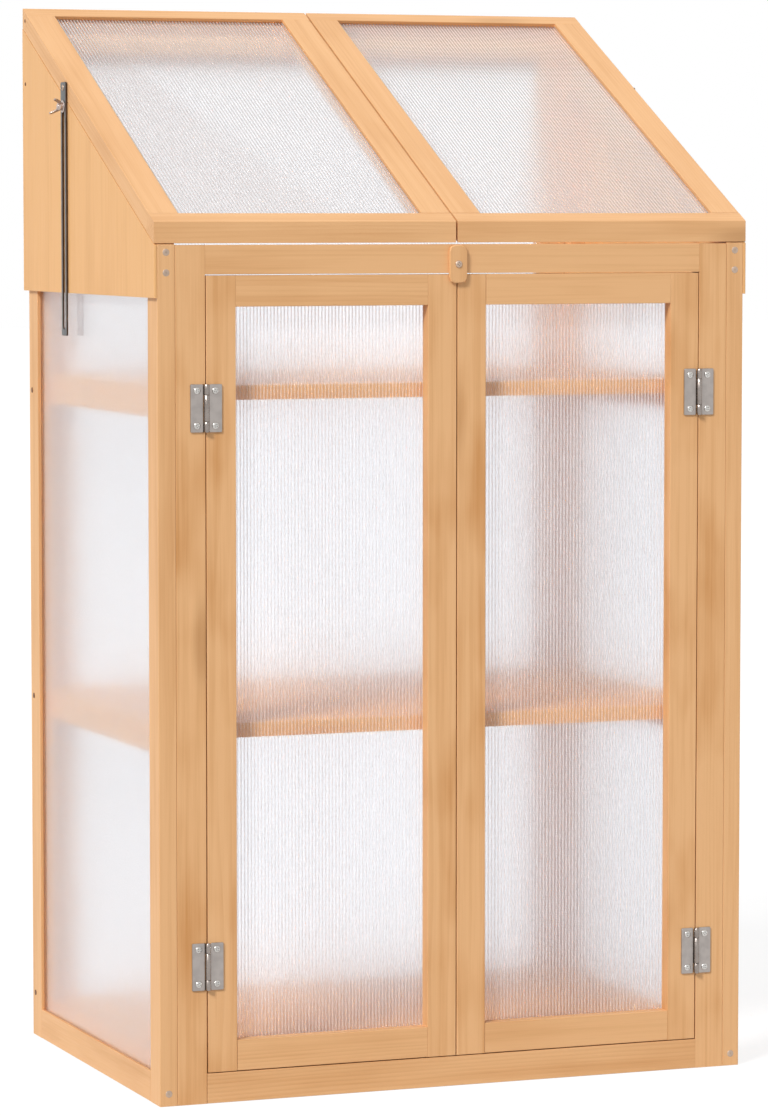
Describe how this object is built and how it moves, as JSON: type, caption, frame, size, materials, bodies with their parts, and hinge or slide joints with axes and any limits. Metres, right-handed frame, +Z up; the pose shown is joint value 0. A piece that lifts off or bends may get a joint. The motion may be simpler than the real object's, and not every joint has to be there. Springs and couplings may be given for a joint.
{
  "type": "mini greenhouse",
  "caption": "Wooden mini greenhouse: a glazed cabinet with two hinged doors, shelves and a sloping roof of two lids held open by slotted stays.",
  "frame": {"origin": "on the ground, at the middle of the whole part's width and depth", "axes": "+X to the right seen from the doors, +Y towards the back, +Z up"},
  "size_m": [0.7256, 0.5012, 1.206],
  "materials": {
    "timber": "light honey softwood, satin stain",
    "board": "light honey board, satin stain",
    "sheet": "clear twin-wall sheet, ribbed",
    "hinge_metal": "nickel plated",
    "stay_metal": "dark zinc"
  },
  "bodies": {
    "cabinet": {"left_front_post": "timber", "left_rear_post": "timber", "left_bottom_rail": "timber", "left_side_sheet": "sheet", "left_side_panel": "board", "left_jamb": "timber", "left_back_stile": "timber", "right_front_post": "timber", "right_rear_post": "timber", "right_bottom_rail": "timber", "right_side_sheet": "sheet", "right_side_panel": "board", "right_jamb": "timber", "right_back_stile": "timber", "front_header": "timber", "front_bottom_rail": "timber", "back_top_rail": "timber", "back_bottom_rail": "timber", "back_sheet": "sheet", "floor_shelf": "timber", "middle_shelf": "timber", "upper_shelf": "timber", "turn_button_screw": "hinge_metal", "left_door_lower_hinge_frame_leaf": "hinge_metal", "left_door_upper_hinge_frame_leaf": "hinge_metal", "left_lid_hinge_frame_leaf": "hinge_metal", "right_door_lower_hinge_frame_leaf": "hinge_metal", "right_door_upper_hinge_frame_leaf": "hinge_metal", "right_lid_hinge_frame_leaf": "hinge_metal"},
    "left_door": {"left_door_hinge_stile": "timber", "left_door_meeting_stile": "timber", "left_door_top_rail": "timber", "left_door_bottom_rail": "timber", "left_door_sheet": "sheet", "left_door_lower_hinge_moving_leaf": "hinge_metal", "left_door_upper_hinge_moving_leaf": "hinge_metal"},
    "right_door": {"right_door_hinge_stile": "timber", "right_door_meeting_stile": "timber", "right_door_top_rail": "timber", "right_door_bottom_rail": "timber", "right_door_sheet": "sheet", "right_door_lower_hinge_moving_leaf": "hinge_metal", "right_door_upper_hinge_moving_leaf": "hinge_metal"},
    "turn_button": {"turn_button": "timber"},
    "left_lid": {"left_lid_outer_stile": "timber", "left_lid_inner_stile": "timber", "left_lid_front_rail": "timber", "left_lid_back_rail": "timber", "left_lid_sheet": "sheet", "left_lid_hinge_moving_leaf": "hinge_metal"},
    "right_lid": {"right_lid_outer_stile": "timber", "right_lid_inner_stile": "timber", "right_lid_front_rail": "timber", "right_lid_back_rail": "timber", "right_lid_sheet": "sheet", "right_lid_hinge_moving_leaf": "hinge_metal"},
    "left_stay_clamp": {"left_stay_clamp": "hinge_metal"},
    "left_stay_bar": {"left_stay_bar": "stay_metal"},
    "right_stay_clamp": {"right_stay_clamp": "hinge_metal"},
    "right_stay_bar": {"right_stay_bar": "stay_metal"}
  },
  "joints": [
    {"name": "left_door_hinge", "type": "hinge", "parent": "cabinet", "child": "left_door", "pos_m": [-0.292, -0.2468, 0.45], "axis": [0, 0, -1], "range_deg": [0, 170]},
    {"name": "right_door_hinge", "type": "hinge", "parent": "cabinet", "child": "right_door", "pos_m": [0.292, -0.2468, 0.45], "axis": [0, 0, 1], "range_deg": [0, 170]},
    {"name": "turn_button_pivot", "type": "hinge", "parent": "cabinet", "child": "turn_button", "pos_m": [0, -0.2461, 0.9129], "axis": [0, 1, 0], "range_deg": [-90, 90]},
    {"name": "left_lid_hinge", "type": "hinge", "parent": "cabinet", "child": "left_lid", "pos_m": [-0.175, 0.2476, 1.18191], "axis": [-1, 0, 0], "range_deg": [0, 84.2]},
    {"name": "left_stay_swivel", "type": "hinge", "parent": "cabinet", "child": "left_stay_clamp", "pos_m": [-0.351, 0.0774, 1.08892], "axis": [-1, 0, 0], "range_deg": [0, 17.7]},
    {"name": "left_stay_slide", "type": "slide", "parent": "left_stay_clamp", "child": "left_stay_bar", "axis": [0, 0, 1], "range_m": [0, 0.24685]},
    {"name": "right_lid_hinge", "type": "hinge", "parent": "cabinet", "child": "right_lid", "pos_m": [0.175, 0.2476, 1.18191], "axis": [-1, 0, 0], "range_deg": [0, 84.2]},
    {"name": "right_stay_swivel", "type": "hinge", "parent": "cabinet", "child": "right_stay_clamp", "pos_m": [0.351, 0.0774, 1.08892], "axis": [-1, 0, 0], "range_deg": [0, 17.7]},
    {"name": "right_stay_slide", "type": "slide", "parent": "right_stay_clamp", "child": "right_stay_bar", "axis": [0, 0, 1], "range_m": [0, 0.24685]}
  ],
  "couplings": [
    {"joint": "left_stay_swivel", "follows": "left_lid_hinge", "ratio": 0.21008},
    {"joint": "left_stay_slide", "follows": "left_lid_hinge", "m_per_rad": 0.1679},
    {"joint": "right_stay_swivel", "follows": "right_lid_hinge", "ratio": 0.21008},
    {"joint": "right_stay_slide", "follows": "right_lid_hinge", "m_per_rad": 0.1679}
  ]
}
